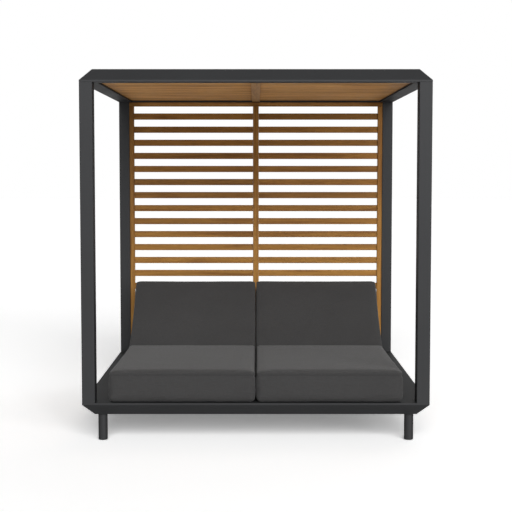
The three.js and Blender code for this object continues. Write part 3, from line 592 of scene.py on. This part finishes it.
def soft_box(name, low, high, crease, outward, reshape):
    """A foam box in a cover: its top panel swells up from the seam round its edge.
    crease is the end along Y, -1 or 1, where it is pressed against its neighbour, and outward is
    the side along X that faces away from the other cushion."""
    half = (high - low) / 2
    middle = Vector(((low.x + high.x) / 2, (low.y + high.y) / 2, low.z))
    seam_height = high.z - low.z - ROLL_HEIGHT - CROWN_HEIGHT
    lines = [edge_lines(half.x), edge_lines(half.y), wall_lines(seam_height)]
    counts = [len(line) - 1 for line in lines]
    mesh = bpy.data.meshes.new(name)
    work = bmesh.new()
    weave = work.loops.layers.uv.new("weave")
    made = {}

    def vertex(index):
        if index in made:
            return made[index]
        place = Vector([lines[axis][index[axis]] for axis in range(3)])
        on_panel = index[2] == counts[2]
        point = panel_point(place, half, crease) if on_panel else rounded(place, half)
        point = draw_sides(point, half, outward)
        made[index] = work.verts.new(middle + reshape(point, place.y / half.y))
        return made[index]

    for axis in range(3):
        first, second = [other for other in range(3) if other != axis]
        for end in (0, counts[axis]):
            for i in range(counts[first]):
                for j in range(counts[second]):
                    corners = []
                    for di, dj in ((0, 0), (1, 0), (1, 1), (0, 1)):
                        index = [0, 0, 0]
                        index[axis], index[first], index[second] = end, i + di, j + dj
                        corners.append(tuple(index))
                    if (end == 0) != (axis == 1):
                        corners.reverse()
                    face = work.faces.new([vertex(index) for index in corners])
                    face.smooth = True
                    for loop, index in zip(face.loops, corners):
                        loop[weave].uv = (lines[first][index[first]], lines[second][index[second]])
    work.verts.index_update()
    order = {index: made[index].index for index in made}
    work.to_mesh(mesh)
    work.free()
    cushion = bpy.data.objects.new(name, mesh)
    bpy.context.scene.collection.objects.link(cushion)
    panel = [i for i in made if i[2] == counts[2]]
    seam = [order[i] for i in panel if i[0] in (0, counts[0]) or i[1] in (0, counts[1])]
    below = [order[i] for i in made if i[2] == 0]

    def flat_distance(index):
        """How far a point is from the nearest edge of the panel before the panel is shaped."""
        return min(half.x - abs(lines[0][index[0]]), half.y - abs(lines[1][index[1]]))

    rolled = [order[i] for i in panel if flat_distance(i) < HELD_WIDTH]
    cushion.vertex_groups.new(name="held").add(seam + below + rolled, 1.0, "REPLACE")
    return cushion


def inflate(cushion):
    """Swells the cover against its pinned seam as a cloth, then limits how far it went."""
    start = [vertex.co.copy() for vertex in cushion.data.vertices]
    cloth = cushion.modifiers.new("swell", "CLOTH")
    for setting, value in CLOTH.items():
        setattr(cloth.settings, setting, value)
    cloth.settings.vertex_group_mass = "held"
    cloth.settings.effector_weights.gravity = 0
    cloth.collision_settings.use_collision = False
    cloth.point_cache.frame_start = 1
    cloth.point_cache.frame_end = CLOTH_FRAMES
    scene = bpy.context.scene
    for step in range(1, CLOTH_FRAMES + 1):
        scene.frame_set(step)
    graph = bpy.context.evaluated_depsgraph_get()
    swollen = cushion.evaluated_get(graph).to_mesh()
    places = [vertex.co.copy() for vertex in swollen.vertices]
    cushion.evaluated_get(graph).to_mesh_clear()
    cushion.modifiers.remove(cloth)
    scene.frame_set(1)
    for vertex, before, after in zip(cushion.data.vertices, start, places):
        move = after - before
        if move.length > 0:
            limited = MOST_SWELL * math.tanh(move.length / MOST_SWELL)
            vertex.co = before + move * (limited / move.length)


def crumple(cushion, seed):
    """Faint creases along the cover, longer than they are tall."""
    far = Vector(CREASE_SHIFT) * seed
    normals = [vertex.normal.copy() for vertex in cushion.data.vertices]
    for vertex, normal in zip(cushion.data.vertices, normals):
        height = 0.0
        for depth, scales in CREASES:
            height += depth * noise.noise(vertex.co * Vector(scales) + far)
        vertex.co += normal * height


def keep_within(cushion, side, low, high, crease):
    """Keeps the cover off what it rests on, and off the other cushion. The two all but touch inside
    the gap between them, which opens towards the top and towards the end that is free."""
    kind, free_end = ("seat", low.y) if crease > 0 else ("back", high.y)
    top_from, top_to = GAP_TOP_SHARES
    for vertex in cushion.data.vertices:
        vertex.co.z = max(vertex.co.z, low.z)
        height_share = (vertex.co.z - low.z) / (high.z - low.z)
        near_top = (height_share - top_from) / (top_to - top_from)
        near_end = 1 - abs(vertex.co.y - free_end) / GAP_DEPTH[kind]
        opened = min(1.0, max(0.0, near_top, near_end))
        gap = GAP_INSIDE + (GAP_OUTSIDE - GAP_INSIDE) * opened
        vertex.co.x = SIDES[side] * max(SIDES[side] * vertex.co.x, gap / 2)


def local_box(node, place):
    """A node's lowest and highest corners in the frame of a matrix."""
    back = place.inverted()
    points = [back @ vertex.co for vertex in NODES[node].data.vertices]
    low = Vector([min(point[axis] for point in points) for axis in range(3)])
    high = Vector([max(point[axis] for point in points) for axis in range(3)])
    return low, high


def cushion(name, side, node, place, crease, reshape, cover):
    low, high = local_box(node, place)
    inner_face = INNER_FACE["seat" if crease > 0 else "back"]
    if side == "left":
        high.x = -inner_face
    else:
        low.x = inner_face
    made = soft_box(name, low, high, crease, SIDES[side], reshape)
    inflate(made)
    crumple(made, len(name) + SIDES[side])
    keep_within(made, side, low, high, crease)
    made.data.transform(place)
    made.data.materials.append(cover)
    finer = made.modifiers.new("finer", "SUBSURF")
    finer.levels = 1
    finer.render_levels = 1
    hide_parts(node)
    return made


def seat_cushion(side, cover):
    """Its top falls a little towards the back."""
    def reshape(point, along):
        rear_share = (1 + along) / 2
        point.z -= SEAT_FALL_SHARE * rear_share * point.z
        return point

    node = f"seat_cushion_{side}"
    made = cushion(f"seat_pad_{side}", side, node, Matrix.Identity(4), 1, reshape, cover)
    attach(made, "root")


def back_cushion(side, cover):
    """It lies on the backrest, turned about the backrest's hinge. Its lower end slants away from the
    seat.
    """
    joint = next(j for j in frame["joints"] if j["child"] == f"backrest_{side}_body")
    recline = math.radians(-joint["range_deg"][0])
    place = Matrix.Translation((0, *joint["pos_m"][1:])) @ Matrix.Rotation(recline, 4, "X")
    node = f"back_cushion_{side}"
    low, high = local_box(node, place)
    thickness = high.z - low.z

    def reshape(point, along):
        lower_share = (1 - along) / 2
        point.y += BACK_SLANT * lower_share * point.z / thickness
        return point

    made = cushion(f"back_pad_{side}", side, node, place, -1, reshape, cover)
    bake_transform(made)


bpy.context.scene.view_settings.view_transform = "Standard"
make_camera()
make_world()
make_floor()
make_lights()
finish_cad_nodes()
cushion_cover = fabric()
for side_name in SIDES:
    seat_cushion(side_name, cushion_cover)
    back_cushion(side_name, cushion_cover)
